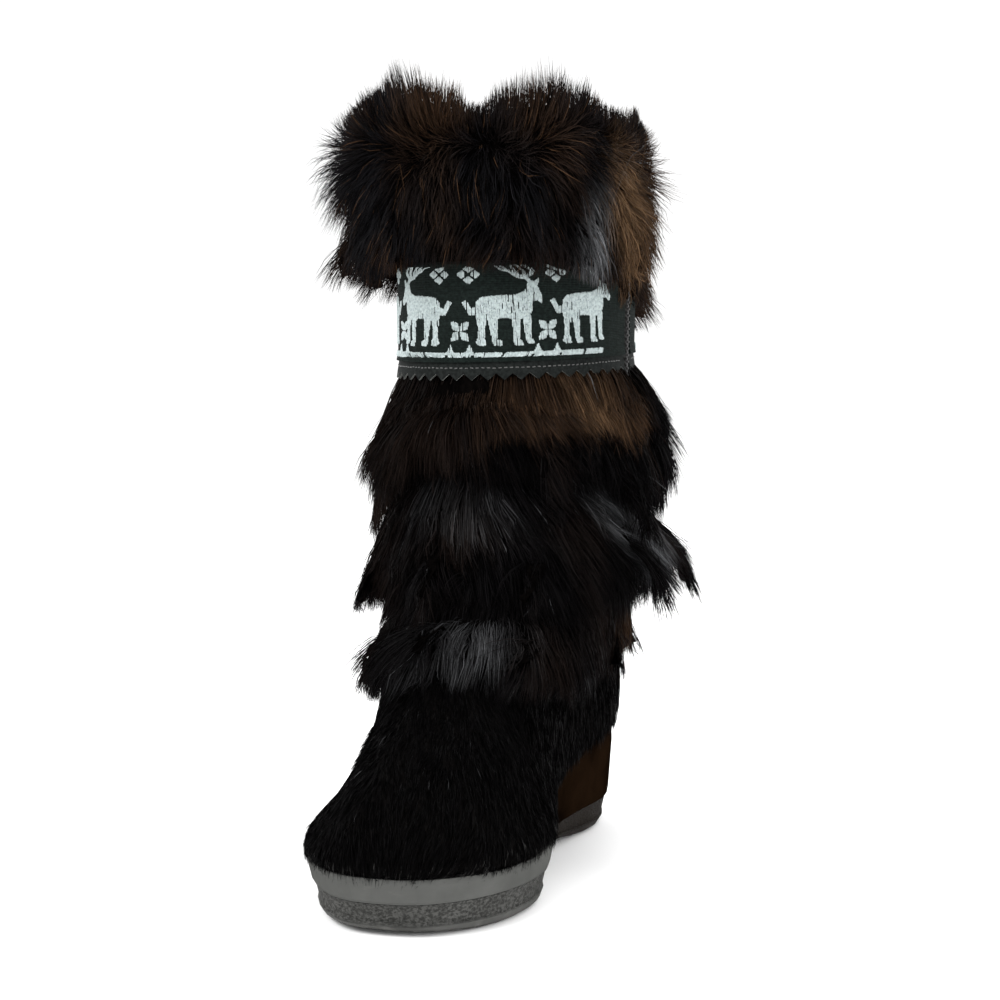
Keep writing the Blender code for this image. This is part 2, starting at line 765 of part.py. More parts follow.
def lock(bm, turn, level, length, width, lift, depth):
    """One lock of hair as a flattened cone that leaves a tier of some depth and hangs down it."""
    scale = 1 / metres_per_level(turn, level)
    hang = math.sqrt(1 - lift * lift)
    out = upper_normal(turn, level)
    up = (off_upper(turn, level, 0) - off_upper(turn, level - 0.02, 0)).normalized()
    across = out.cross(up).normalized()
    rows = []
    for along, girth in zip(LOCK_TAPER["along"], LOCK_TAPER["girth"]):
        off = depth * (ROOT_DEPTH + ROOT_RISE * min(1, along * 2)) + length * lift * along
        centre = off_upper(turn, level - length * along * hang * scale, off)
        ring = []
        for k in range(LOCK_SIDES):
            angle = TURN * (k + 0.2) / LOCK_SIDES
            side = across * (math.cos(angle) * width / 2 * girth)
            ring.append(centre + side + out * (math.sin(angle) * width / 4 * girth))
        rows.append([bm.verts.new(point) for point in ring])
    for low, high in zip(rows, rows[1:]):
        for k in range(LOCK_SIDES):
            j = (k + 1) % LOCK_SIDES
            bm.faces.new((low[k], low[j], high[j], high[k]))
    bm.faces.new(rows[0])
    bm.faces.new(rows[-1])


def fuse_locks(pelt, tier, helpers):
    """Joins a tier's loose locks to it."""
    bm = bmesh.new()
    for degrees, level, length, width, lift in LOOSE_LOCKS[pelt.name]:
        turn = math.radians(degrees)
        depth = round_the_leg(tier["depth"], turn)
        lock(bm, turn, level, length, width, lift, depth)
    bmesh.ops.recalc_face_normals(bm, faces=bm.faces)
    boolean(pelt, add_object(pelt.name + "_locks", bm, helpers), "UNION")


def make_fur(parts, helpers):
    """Three hanging tiers and the cuff, each a pelt split at the zip."""
    count = 2 * LOCKS_AROUND + 1
    tiers = (
        ("fur_tier_upper", UPPER_TIER, tier_section(UPPER_TIER, tucked=False, laps=True)),
        ("fur_tier_middle", MIDDLE_TIER, tier_section(MIDDLE_TIER, tucked=True, laps=True)),
        ("fur_tier_lower", LOWER_TIER, tier_section(LOWER_TIER, tucked=True, laps=False)),
        ("fur_cuff", CUFF, cuff_section),
    )
    for name, tier, section in tiers:
        fuse_locks(wrap(name, section, count, parts), tier, helpers)


def new_collection(name):
    """Empty collection in the scene."""
    collection = bpy.data.collections.new(name)
    bpy.context.scene.collection.children.link(collection)
    return collection


def main():
    for obj in list(bpy.data.objects):
        bpy.data.objects.remove(obj)
    parts = new_collection("fur_boot")
    helpers = new_collection("helpers")
    make_outsole(parts, helpers)
    make_midsole(parts)
    make_insole(parts)
    make_upper(parts)
    make_pinked_strip(parts)
    make_band(parts)
    make_zip(parts)
    make_fur(parts, helpers)
    for helper in helpers.objects:
        helper.hide_render = True
        helper.display_type = "WIRE"


main()
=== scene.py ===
import math

import bmesh
import bpy
import numpy as np
from mathutils import Matrix, Vector
from mathutils.bvhtree import BVHTree
from mathutils.kdtree import KDTree


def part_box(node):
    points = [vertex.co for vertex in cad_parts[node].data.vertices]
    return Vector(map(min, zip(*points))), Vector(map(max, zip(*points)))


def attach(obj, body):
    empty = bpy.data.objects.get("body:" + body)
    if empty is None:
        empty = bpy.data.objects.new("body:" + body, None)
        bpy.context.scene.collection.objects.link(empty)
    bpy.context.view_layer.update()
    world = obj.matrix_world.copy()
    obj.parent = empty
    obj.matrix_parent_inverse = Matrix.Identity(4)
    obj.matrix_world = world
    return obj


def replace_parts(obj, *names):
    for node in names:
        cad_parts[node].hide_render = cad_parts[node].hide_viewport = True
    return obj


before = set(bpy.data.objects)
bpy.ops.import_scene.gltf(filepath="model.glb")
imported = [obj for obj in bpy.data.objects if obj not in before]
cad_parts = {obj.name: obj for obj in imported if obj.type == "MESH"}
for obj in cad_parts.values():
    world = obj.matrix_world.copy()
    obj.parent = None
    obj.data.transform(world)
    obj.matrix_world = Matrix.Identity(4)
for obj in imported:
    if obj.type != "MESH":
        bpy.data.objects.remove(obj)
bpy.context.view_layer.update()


# ---- Tread ------------------------------------------------------------------
# The tread is one slab of foam rubber with a smooth rim at the floor and a crepe
# grain pressed into its side above the rim. It is cemented under the wedge. It is
# grey and rubbed pale with dust at the toe. Painted shade makes it dark brown towards
# the heel and spots its grain darker.


class Tone:
    """One value or colour inside a material, so that shader maths reads as plain sums."""

    def __init__(self, finish, socket):
        self.finish = finish
        self.socket = socket

    def maths(self, operation, first, second):
        return self.finish.node("ShaderNodeMath", {"operation": operation}, first, second)

    def __add__(self, other):
        return self.maths("ADD", self, other)

    def __sub__(self, other):
        return self.maths("SUBTRACT", self, other)

    def __rsub__(self, other):
        return self.maths("SUBTRACT", other, self)

    def __mul__(self, other):
        return self.maths("MULTIPLY", self, other)

    __radd__ = __add__
    __rmul__ = __mul__

    def size(self):
        return self.finish.node("ShaderNodeMath", {"operation": "ABSOLUTE"}, self)

    def rise(self, low, high):
        """0 below low and 1 above high, with a soft step between them."""
        settings = {"interpolation_type": "SMOOTHSTEP", "clamp": True}
        return self.finish.node("ShaderNodeMapRange", settings, self, low, high, 0.0, 1.0)


class Finish:
    """A procedural material under construction."""

    def __init__(self, name):
        self.material = bpy.data.materials.new(name)
        self.material.use_nodes = True
        self.tree = self.material.node_tree
        self.tree.nodes.clear()

    def node(self, kind, settings, *values, out=0, named=None):
        """Adds a node with its settings, then the values or links of its sockets."""
        node = self.tree.nodes.new(kind)
        for key, value in settings.items():
            setattr(node, key, value)
        sockets = list(zip(node.inputs, values))
        sockets += [(node.inputs[key], value) for key, value in (named or {}).items()]
        for socket, value in sockets:
            if isinstance(value, Tone):
                self.tree.links.new(value.socket, socket)
            elif value is not None:
                socket.default_value = value
        return Tone(self, node.outputs[out]) if node.outputs else None

    def place(self, stretch=(1, 1, 1)):
        """The point on the piece, in metres, stretched for a pattern that runs one way."""
        point = self.node("ShaderNodeTexCoord", {}, out=3)
        return self.node("ShaderNodeMapping", {}, point, named={"Scale": stretch})

    def along(self, vector, axis):
        return self.node("ShaderNodeSeparateXYZ", {}, vector, out=axis)

    def noise(self, scale, detail=3.0, stretch=(1, 1, 1), rough=0.55):
        named = {"Scale": scale, "Detail": detail, "Roughness": rough}
        return self.node("ShaderNodeTexNoise", {}, self.place(stretch), named=named)

    def mix(self, factor, first, second):
        blank = (None,) * 5
        return self.node("ShaderNodeMix", {"data_type": "RGBA"}, factor, *blank, first, second, out=2)

    def finish(self, colour, roughness, height=None, relief=0.0005, strength=1.0, **fixed):
        """Joins colour, roughness and a bump of the given depth in metres to the shader."""
        named = {"Base Color": colour, "Roughness": roughness}
        if height is not None:
            bump = {"Height": height, "Distance": relief, "Strength": strength}
            named["Normal"] = self.node("ShaderNodeBump", {}, named=bump)
        for key, value in fixed.items():
            named[key.replace("_", " ")] = value
        shader = self.node("ShaderNodeBsdfPrincipled", {}, named=named)
        self.node("ShaderNodeOutputMaterial", {}, shader)
        return self.material


def dress(node, material):
    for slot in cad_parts[node].material_slots:
        slot.material = material


def tread_rubber():
    rubber = Finish("grey_foam_rubber")
    height = rubber.along(rubber.place(), 2)
    level = height + (rubber.noise(40, 2) - 0.5) * 0.0016
    grained = level.rise(0.0042, 0.0056)
    crumb = rubber.noise(620, 5, (1, 1, 1.25), 0.7)
    pits = rubber.node("ShaderNodeTexVoronoi", {"feature": "SMOOTH_F1"}, rubber.place((1, 1, 1.4)),
                       named={"Scale": 640.0, "Smoothness": 0.6})
    cloud = rubber.noise(28, 4)
    colour = rubber.mix(cloud.rise(0.3, 0.72), (0.056, 0.056, 0.053, 1), (0.086, 0.086, 0.082, 1))
    # The grained band is spotted darker: painted shade in the pits of the grain.
    colour = rubber.mix(grained * crumb.rise(0.40, 0.58) * 0.75, colour, (0.014, 0.014, 0.013, 1))
    # The dark brown towards the heel is painted shade.
    heel = rubber.along(rubber.place(), 1).rise(-0.135, -0.060)
    colour = rubber.mix(heel * 0.92, colour, (0.009, 0.0062, 0.0045, 1))
    dust = (1 - heel * 0.8) * rubber.noise(90, 5, (1, 1, 0.4)).rise(0.5, 0.75) * (1 - level.rise(0.002, 0.007))
    colour = rubber.mix(dust * 0.7, colour, (0.14, 0.138, 0.13, 1))
    grain = grained * (crumb * 0.8 + pits * 0.9) + (1 - grained) * rubber.noise(900, 3) * 0.12
    return rubber.finish(colour, 0.62 + cloud * 0.2, grain, 0.0011, 0.9, Specular_IOR_Level=0.04)


dress("outsole", tread_rubber())


# ---- Wedge ------------------------------------------------------------------
# The wedge is a moulded block of denser rubber between the tread and the upper.
# Its side is smooth with faint lines from the mould. It is grey with dust at the
# toe, and painted shade makes it brown-black towards the heel.


def wedge_rubber():
    rubber = Finish("smooth_wedge_rubber")
    along = rubber.along(rubber.place(), 1)
    heel = along.rise(-0.150, -0.075)
    cloud = rubber.noise(24, 4)
    lines = rubber.noise(60, 3, (0.25, 0.25, 9))
    front = rubber.mix(cloud.rise(0.3, 0.7), (0.058, 0.059, 0.056, 1), (0.082, 0.083, 0.079, 1))
    # The back colour is painted shade, turning the wedge brown-black towards the heel.
    back = rubber.mix(cloud.rise(0.35, 0.7), (0.0014, 0.0008, 0.0005, 1), (0.0085, 0.0045, 0.0023, 1))
    colour = rubber.mix(heel, front, back)
    scuff = rubber.noise(150, 6, (0.5, 0.5, 2.2), 0.7).rise(0.6, 0.72)
    colour = rubber.mix(scuff * (1 - heel) * 0.3, colour, (0.12, 0.118, 0.11, 1))
    height = lines * 0.5 + rubber.noise(700, 3) * 0.18
    return rubber.finish(colour, 0.5 + cloud * 0.22, height, 0.0005, 0.5, Specular_IOR_Level=0.0)


dress("wedge_midsole", wedge_rubber())


# ---- Insole and lining --------------------------------------------------------
# The footbed is a loose sheet of grey-brown wool felt cut to the last. The lining
# is the same felt, bonded inside the hide, and its fibres lie every way.


def wool_felt(name, dark, light):
    felt = Finish(name)
    fibre = felt.noise(420, 8, (1, 1, 1), 0.75)
    cloud = felt.noise(35, 3)
    colour = felt.mix(fibre.rise(0.35, 0.68), dark, light)
    colour = felt.mix(cloud.rise(0.4, 0.8) * 0.4, colour, dark)
    return felt, colour, fibre


felt, felt_colour, felt_fibre = wool_felt("wool_felt", (0.075, 0.062, 0.050, 1), (0.17, 0.145, 0.12, 1))
dress("insole", felt.finish(felt_colour, 0.95, felt_fibre, 0.0009, 0.8, Sheen_Weight=0.35))


# ---- Hide of the upper ----------------------------------------------------------
# The upper is one shell of short-haired black hide with a felt lining. The hide
# itself shows only between the hairs, so it is near black and dull outside, and
# the inner face carries the felt.


LEG_MIDDLE = -0.0335  # how far the upright middle line of the leg lies behind the origin, in y


def hide_and_lining():
    hide, lining, fibre = wool_felt("hide_and_lining", (0.030, 0.024, 0.020, 1), (0.070, 0.056, 0.046, 1))
    place = hide.place()
    facing = hide.node("ShaderNodeNewGeometry", {}, out=1)
    across = hide.along(place, 0) * hide.along(facing, 0)
    away = across + (hide.along(place, 1) - LEG_MIDDLE) * hide.along(facing, 1)
    inside = 1 - away.rise(-0.004, 0.0)
    inside = inside * hide.along(place, 2).rise(0.118, 0.122)
    nap = hide.noise(300, 6, (1, 1, 0.25), 0.7)
    skin = hide.mix(nap.rise(0.35, 0.7), (0.0012, 0.0010, 0.0010, 1), (0.0036, 0.0031, 0.0029, 1))
    colour = hide.mix(inside, skin, lining)
    return hide.finish(colour, 0.8, nap * 0.5 + fibre * 0.5, 0.0010, 0.7, Specular_IOR_Level=0.02)


dress("upper", hide_and_lining())


# ---- Short hair of the foot -------------------------------------------------------
# The foot is covered in dense sleek hair about a centimetre long, grown in the hide.
# It lies forwards and down to the sole, is black with a few grey guard hairs, and
# its ends stand over the top edge of the wedge.


def unit(vectors):
    return vectors / np.maximum(np.linalg.norm(vectors, axis=-1, keepdims=True), 1e-9)


def skin_of(node):
    """Corners and triangles of a piece's surface, with a smoothed normal at each corner."""
    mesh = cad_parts[node].data
    mesh.calc_loop_triangles()
    places = np.empty(len(mesh.vertices) * 3)
    mesh.vertices.foreach_get("co", places)
    faces = np.empty(len(mesh.loop_triangles) * 3, int)
    mesh.loop_triangles.foreach_get("vertices", faces)
    corners, same = np.unique(np.round(places.reshape(-1, 3), 5), axis=0, return_inverse=True)
    faces = same.reshape(-1)[faces].reshape(-1, 3)
    spread = np.cross(corners[faces[:, 1]] - corners[faces[:, 0]], corners[faces[:, 2]] - corners[faces[:, 0]])
    normals = np.zeros_like(corners)
    for k in range(3):
        np.add.at(normals, faces[:, k], spread)
    return corners, faces, spread, unit(normals)


def from_spine(places):
    """The way out of the leg, or out of the foot below the ankle, at each point."""
    leg = np.stack([np.zeros(len(places)), np.full(len(places), LEG_MIDDLE), places[:, 2]], 1)
    foot = np.stack([np.zeros(len(places)), np.clip(places[:, 1], -0.175, 0.0), np.full(len(places), 0.045)], 1)
    return unit(places - np.where(places[:, 2:] > 0.12, leg, foot))


def outer_shell(nodes):
    """A search tree of the outward faces of these pieces."""
    places, sides = [], []
    for node in nodes:
        corners, faces, spread, normals = skin_of(node)
        outward = (unit(spread) * from_spine(corners[faces].mean(1))).sum(1) > -0.05
        sides += (faces[outward] + len(places)).tolist()
        places += corners.tolist()
    return BVHTree.FromPolygons(places, sides)


shell = outer_shell(("upper", "wedge_midsole", "outsole", "pinked_strip", "reindeer_band", "fur_tier_upper",
                     "fur_tier_middle", "fur_tier_lower", "fur_cuff"))


def settle(path, clear):
    """Lifts the points of hairs that would sink into the boot to a clear height over its skin."""
    for k in range(1, path.shape[1]):
        for i, point in enumerate(path[:, k]):
            place, out, face, far = shell.find_nearest(Vector(point), 0.02)
            if place is None:
                continue
            height = (Vector(point) - place).dot(out)
            if height < clear[i, k]:
                path[i, k] += np.array(out) * (clear[i, k] - height)
    return path


def roots_on(node, count, density, rng):
    """Points spread over a piece by density, each with the direction out of the skin."""
    corners, faces, spread, normals = skin_of(node)
    area = np.linalg.norm(spread, axis=1) * density(corners[faces].mean(1), unit(spread))
    pick = rng.choice(len(faces), count, p=area / area.sum())
    a, b = rng.random((2, count))
    fold = a + b > 1
    a[fold], b[fold] = 1 - a[fold], 1 - b[fold]
    share = np.stack([1 - a - b, a, b], 1)[:, :, None]
    return (corners[faces[pick]] * share).sum(1), unit((normals[faces[pick]] * share).sum(1))


def drift(points, size, seed):
    """A smooth wandering that turns within about that size, from -1 to 1 each way."""
    rng = np.random.default_rng(seed)
    waves = rng.normal(size=(8, 3)) * (3.0 / size)
    phase = rng.random((8, 3)) * 6.28
    return np.stack([np.sin(points @ waves.T + phase[:, k]).sum(1) / 4 for k in range(3)], 1)


def along_skin(direction, out):
    """The part of a direction that lies in the skin."""
    direction = np.broadcast_to(direction, out.shape)
    return unit(direction - out * (direction * out).sum(1, keepdims=True))


def spot(points, centre, radius):
    """1 at a centre in millimetres, fading out past the radius."""
    away = np.linalg.norm((points * 1000 - np.array(centre)) / np.array(radius), axis=1)
    return np.clip(1.35 - away, 0, 1)[:, None]


def blend(colours, other, share):
    return colours * (1 - share) + np.array(other) * share


def grow(name, roots, first, last, length, width, colours, rng, sink, stations=4, tufts=0, gather=0.5,
         fade=0.45, free=None):
    """Joins tapered hairs into one piece. Each hair leaves along first and ends along last.

    The roots lie sunk below the skin, and the hair comes up over it towards its end,
    but for the free hairs, which grow on an inner face.
    """
    steps = np.linspace(0, 1, stations)
    reach = length[:, None, None]
    t = steps[None, :, None]
    path = roots[:, None] + reach * (first[:, None] * (t - t * t / 2) + last[:, None] * t * t / 2)
    if tufts:
        leaders = rng.choice(len(roots), tufts, replace=False)
        tree = KDTree(tufts)
        for index, leader in enumerate(leaders):
            tree.insert(roots[leader], index)
        tree.balance()
        led = leaders[np.array([tree.find(root)[1] for root in roots])]
        pull = (gather * rng.uniform(0.4, 1.1, len(roots)))[:, None, None] * t * t
        goal = roots[led][:, None] + reach * (
            first[led][:, None] * (t - t * t / 2) + last[led][:, None] * t * t / 2)
        path = path + (goal - path) * np.clip(pull, 0, 0.95)
    clear = rng.uniform(0.0, 0.0016, (len(roots), 1)) - sink * (1 - steps[None, :]) ** 2
    grown = path.copy()
    path = settle(path, clear)
    if free is not None:
        path[free] = grown[free]
    run = unit(np.gradient(path, axis=1))
    side = unit(np.cross(run, unit(rng.normal(size=roots.shape))[:, None]))
    half = (width / 2)[:, None, None] * np.interp(steps, (0, 0.3, 0.75, 1), (0.8, 1.0, 0.6, 0.0))[None, :, None]
    left = (path - side * half)[:, :-1]
    right = (path + side * half)[:, :-1]
    count = 2 * (stations - 1) + 1
    places = np.empty((len(roots), count, 3))
    places[:, 0:count - 1:2] = left
    places[:, 1:count - 1:2] = right
    places[:, -1] = path[:, -1]
    faces = []
    base = np.arange(len(roots)) * count
    for k in range(stations - 2):
        faces += np.stack([base + 2 * k, base + 2 * k + 1, base + 2 * k + 3, base + 2 * k + 2], 1).tolist()
    faces += np.stack([base + count - 3, base + count - 2, base + count - 1], 1).tolist()
    mesh = bpy.data.meshes.new(name)
    mesh.from_pydata(places.reshape(-1, 3), [], faces)
    shade = np.interp(steps, (0, 0.5, 1), (fade, 1.0, 1.15))
    tint = np.ones((len(roots), count, 4))
    tint[:, 0:count - 1:2, :3] = colours[:, None] * shade[None, :-1, None]
    tint[:, 1:count - 1:2, :3] = colours[:, None] * shade[None, :-1, None]
    tint[:, -1, :3] = colours * shade[-1]
    layer = mesh.attributes.new("hair_colour", "FLOAT_COLOR", "POINT")
    layer.data.foreach_set("color", tint.reshape(-1))
    mesh.materials.append(fur_finish)
    return show(name, mesh)


def show(name, mesh):
    """Puts a finished mesh in the scene, attached to the boot's root body."""
    piece = bpy.data.objects.new(name, mesh)
    bpy.context.scene.collection.objects.link(piece)
    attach(piece, "root")
    return piece


def fur_hair():
    fur = Finish("dyed_fur_hair")
    colour = fur.node("ShaderNodeAttribute", {"attribute_name": "hair_colour"})
    streak = fur.noise(500, 2)
    return fur.finish(colour, 0.34 + streak * 0.2, Specular_IOR_Level=0.02)


fur_finish = fur_hair()
BLACK = (0.0020, 0.0017, 0.0019)
UMBER = (0.0095, 0.0055, 0.0038)
CHESTNUT = (0.070, 0.038, 0.020)
TAN = (0.15, 0.088, 0.046)
# The grey tone is grey hair and also painted sheen on the locks; the silver tone is painted sheen only.
GREY_HAIR_AND_SHEEN = (0.105, 0.107, 0.112)
SILVER_SHEEN = (0.17, 0.175, 0.185)


def grow_foot():
    rng = np.random.default_rng(11)

    def density(places, out):
        shown = (places[:, 2] < 0.135) & ((out * from_spine(places)).sum(1) > 0.05)
        return shown * np.where(places[:, 1] > -0.08, 0.6, 1.0)

    roots, out = roots_on("upper", 65000, density, rng)
    comb = np.array([0, -0.55, -0.85]) + drift(roots, 0.05, 3) * 0.28
    comb[:, 1] = np.where(roots[:, 1] > -0.06, comb[:, 1] * 0.3, comb[:, 1])
    flow = along_skin(comb, out)
    from_toe_seam = np.abs(roots[:, 2] + (roots[:, 1] + 0.205) * -0.16 - 0.0635)
    proud = np.where((roots[:, 1] < -0.12) & (from_toe_seam < 0.004), 0.35, 0.0)
    lift = rng.uniform(0.07, 0.24, len(roots)) + proud
    first = unit(flow + out * lift[:, None] + rng.normal(size=roots.shape) * 0.09)
    last = unit(flow + out * (lift * 0.3)[:, None] + drift(roots, 0.012, 5) * 0.20)
    length = rng.uniform(0.0065, 0.0115, len(roots))
    near_sole = roots[:, 2] < 0.034 + 0.02 * np.clip((roots[:, 1] + 0.13) / 0.13, 0, 1)
    length = np.where(near_sole, length * 0.62, length)
    # Each hair's brightness varies, partly its own tone and partly painted glints of sheen.
    colours = np.tile(BLACK, (len(roots), 1)) * rng.lognormal(-0.75, 0.45, (len(roots), 1))
    hem = near_sole[:, None] * (rng.random((len(roots), 1)) < 0.06)
    colours = blend(colours, (0.035, 0.034, 0.033), hem)
    fleck = (rng.random((len(roots), 1)) < 0.0015) * 0.35
    colours = blend(colours, GREY_HAIR_AND_SHEEN, fleck)
    width = rng.uniform(0.00022, 0.00040, len(roots))
    grow("foot_short_hair", roots - out * 0.0004, first, last, length, width, colours, rng, 0.0004,
         stations=3, tufts=4200, gather=0.35, fade=0.6)


grow_foot()


# ---- Fur tiers --------------------------------------------------------------------
# Three pelts of long goat-like hair are sewn round the leg one below the other, so
# each hem falls over the next. The hair hangs in locks, black with chestnut at the
# top of the inner side and grey-tipped locks over the ankle. The grey on those locks
# is partly grey hair and partly painted sheen, and the silver on the inner locks is
# painted sheen.


def pelt_base():
    pelt = Finish("pelt_undercoat")
    wool = pelt.noise(260, 6, (1, 1, 0.18), 0.72)
    colour = pelt.mix(wool.rise(0.38, 0.68), (0.0006, 0.0005, 0.0005, 1), (0.0020, 0.0016, 0.0015, 1))
    return pelt.finish(colour, 0.9, wool, 0.0016, 0.9, Specular_IOR_Level=0.0)


pelt_finish = pelt_base()


def undercoat(name, node, sink):
    """The dense wool under the long hair: the pelt's own form, sunk below the hair's outer face."""
    corners, faces, spread, normals = skin_of(node)
    outward = np.clip((normals * from_spine(corners)).sum(1, keepdims=True) * 3 + 0.6, 0, 1)
    mesh = bpy.data.meshes.new(name)
    mesh.from_pydata(corners - normals * sink * outward, [], faces.tolist())
    mesh.materials.append(pelt_finish)
    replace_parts(show(name, mesh), node)


def hem_of(node):
    """The lowest height of a piece at each turn round the leg."""
    corners = skin_of(node)[0]
    turns = turn_of(corners)
    places = np.arange(0, 360, 15)
    lows = np.array([corners[np.abs((turns - p + 180) % 360 - 180) < 12][:, 2].min() for p in places])
    return lambda roots: np.interp(turn_of(roots), np.append(places, 360), np.append(lows, lows[0]))


def turn_of(roots):
    """Degrees round the leg: 0 at the back, 90 at the inner side, 180 in front."""
    return np.degrees(np.arctan2(roots[:, 0], roots[:, 1] - LEG_MIDDLE)) % 360


def grow_tier(name, node, count, seed, patches, reach, turn_out, fly, over=0.012, crown=0.0, crown_end=0.0,
              sink=0.0042):
    """Grows one tier's hair on its pelt.

    patches are rows of tone, centre, radius and share; reach is the shortest and longest hair; turn_out
    is how the locks lean; fly is the share of loose hairs; over is how far hair falls past the hem;
    crown is how much more hair stands at the top edge; crown_end is the height where the top hair of
    the inner side ends; sink is how deep the roots lie.
    """
    rng = np.random.default_rng(seed)
    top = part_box(node)[1][2]

    def crown_at(places):
        return crown * np.clip((places[:, 2] - top + 0.024) / 0.010, 0, 1)

    def density(places, out):
        outward = (out * from_spine(places)).sum(1)
        share = np.clip(outward + np.clip(out[:, 2], 0, 1) + 0.2, 0, 1) * (out[:, 2] > -0.8)
        return share * (1 + crown_at(places))

    roots, out = roots_on(node, count, density, rng)
    away = unit(np.stack([roots[:, 0], roots[:, 1] + 0.035, np.zeros(len(roots))], 1))
    sway = drift(roots, 0.055, seed + 1)
    comb = np.array([0, 0, -1.0]) + sway * np.array([0.34, 0.34, 0.1])
    comb += turn_out(roots)
    flow = along_skin(comb, out)
    crowned = crown_at(roots)[:, None]
    inward = np.clip(roots[:, :1] / 0.05, 0, 1)
    lift = rng.uniform(0.08, 0.30, len(roots)) + (0.12 + 0.6 * inward[:, 0]) * crowned[:, 0]
    first = unit(flow + out * lift[:, None] + rng.normal(size=roots.shape) * 0.06)
    above = roots[:, 2] - hem_of(node)(roots)
    near_hem = np.clip(1 - above[:, None] / 0.022, 0, 1) * (1 - inward)
    hang = (0.05 + 0.3 * inward) * crowned - 0.20 - 0.30 * near_hem
    stray = drift(roots, 0.016, seed + 2) * 0.20 + rng.normal(size=roots.shape) * 0.06
    last = unit(flow * 0.7 + comb * 0.5 + away * hang + stray)
    length = rng.uniform(*reach, len(roots)) * (1 + drift(roots, 0.03, seed + 3)[:, 0] * 0.25)
    ragged = over * (1.1 + drift(roots, 0.022, seed + 6)[:, 0] * 0.9 + drift(roots, 0.06, seed + 7)[:, 1] * 0.6)
    ragged *= 1 - 0.65 * np.clip(-roots[:, 0] / 0.045, 0, 1)
    length = np.minimum(length, np.maximum(ragged, 0.004) + 1.25 * np.clip(above, 0, 1))
    if crown_end:
        short = roots[:, 2] - crown_end - 0.007 * drift(roots, 0.014, seed + 8)[:, 0]
        short += rng.normal(0, 0.0025, len(roots))
        inner = np.clip((roots[:, 0] + 0.002) / 0.01, 0, 1) * (roots[:, 1] < 0.01)
        length = np.where((short > 0.004) & (rng.random(len(roots)) < inner), np.minimum(length, short), length)
    depth = sink * (1 - 0.8 * crowned)
    loose = rng.random(len(roots)) < fly
    last[loose] = unit(last[loose] + away[loose] * rng.uniform(0.1, 0.6, (loose.sum(), 1)))
    colours = np.tile(BLACK, (len(roots), 1))
    warm = np.clip(drift(roots, 0.045, seed + 4)[:, :1] * 0.6, 0, 1)
    colours = blend(colours, UMBER, warm)
    # The grey and silver patches are painted sheen on the locks, the grey ones partly grey hair too; the brown
    # ones are the hair's own colour.
    for tone, centre, radius, share in patches:
        tuft = 0.55 + 0.45 * np.sign(drift(roots, 0.009, seed + 5)[:, :1]) * rng.random((len(roots), 1))
        colours = blend(colours, tone, spot(roots, centre, radius) * share * tuft)
    colours = colours * rng.lognormal(0, 0.32, (len(roots), 1))
    colours = blend(colours, GREY_HAIR_AND_SHEEN, (rng.random((len(roots), 1)) < 0.003) * 0.6)
    width = rng.uniform(0.00020, 0.00046, len(roots))
    width[loose] *= 0.7
    undercoat(name.replace("hair", "undercoat"), node, sink)
    grow(name, roots - out * depth, first, last, length, width, colours, rng, depth,
         tufts=count // 40, gather=0.42)


def flick(roots):
    """The locks over the inner ankle turn outwards and back at their ends."""
    inner = np.clip(roots[:, :1] / 0.055, 0, 1) ** 2
    level = np.interp(roots[:, 2:], (0.125, 0.145, 0.160, 0.205), (0.1, 0.45, 1.1, 1.1))
    return inner * level * np.array([0.75, 0.15, 0.12])


def fall_forward(roots):
    front = np.clip((-0.09 - roots[:, 1:2]) / 0.05, 0, 1)
    return front * np.array([-0.35, -0.25, 0])


grow_tier("tier_hair_upper", "fur_tier_upper", 28000, 21, (
    (CHESTNUT, (26, -86, 214), (28, 24, 14), 0.7),
    (TAN, (46, -74, 215), (14, 18, 12), 0.6),
    (CHESTNUT, (58, -54, 211), (20, 24, 15), 0.85),
    (UMBER, (-20, -95, 200), (60, 40, 40), 0.5),
    (CHESTNUT, (-30, 40, 200), (40, 25, 30), 0.35),
), (0.026, 0.038), lambda roots: flick(roots) * 0.3, 0.02, crown=1.0, crown_end=0.191)
grow_tier("tier_hair_middle", "fur_tier_middle", 31000, 31, (
    (SILVER_SHEEN, (56, -66, 172), (14, 20, 14), 0.8),
    (SILVER_SHEEN, (66, -42, 160), (16, 22, 16), 0.8),
    (GREY_HAIR_AND_SHEEN, (-12, -103, 176), (11, 14, 9), 0.25),
    (GREY_HAIR_AND_SHEEN, (5, -107, 171), (12, 14, 9), 0.28),
    (UMBER, (-45, -60, 160), (30, 50, 30), 0.6),
    (CHESTNUT, (40, 40, 150), (30, 20, 25), 0.4),
), (0.026, 0.038), flick, 0.03)
grow_tier("tier_hair_lower", "fur_tier_lower", 28000, 41, (
    (GREY_HAIR_AND_SHEEN, (13, -133, 116), (13, 14, 9), 0.45),
    (GREY_HAIR_AND_SHEEN, (26, -120, 117), (10, 14, 9), 0.3),
    (GREY_HAIR_AND_SHEEN, (-1, -145, 101), (10, 12, 10), 0.4),
    (UMBER, (-40, -60, 110), (30, 60, 30), 0.5),
    (CHESTNUT, (45, 0, 110), (20, 30, 25), 0.45),
), (0.020, 0.030), fall_forward, 0.03, over=0.007, crown=0.7)
